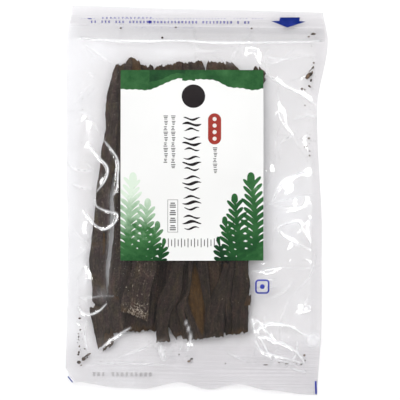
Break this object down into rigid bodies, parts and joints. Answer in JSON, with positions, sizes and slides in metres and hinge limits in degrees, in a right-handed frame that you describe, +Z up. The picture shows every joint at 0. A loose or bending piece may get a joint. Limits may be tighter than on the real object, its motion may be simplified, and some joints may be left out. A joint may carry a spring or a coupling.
{
  "type": "dried wakame in a clear zip pouch",
  "caption": "Clear flat zip-top pouch of dried wakame strips, lying on its back, with a rectangular paper label on its front.",
  "frame": {"origin": "under the middle of the pouch, on the surface that it lies on", "axes": "+X across the pouch, +Y from its foot seal to its open end, +Z up through its labelled front"},
  "size_m": [0.1602, 0.237, 0.0155],
  "materials": {
    "clear_film": "glossy",
    "paper_label": "satin",
    "wakame": "matt",
    "print_ink": "satin"
  },
  "bodies": {
    "root": {"pouch": "clear_film", "label": "paper_label"}
  },
  "joints": []
}
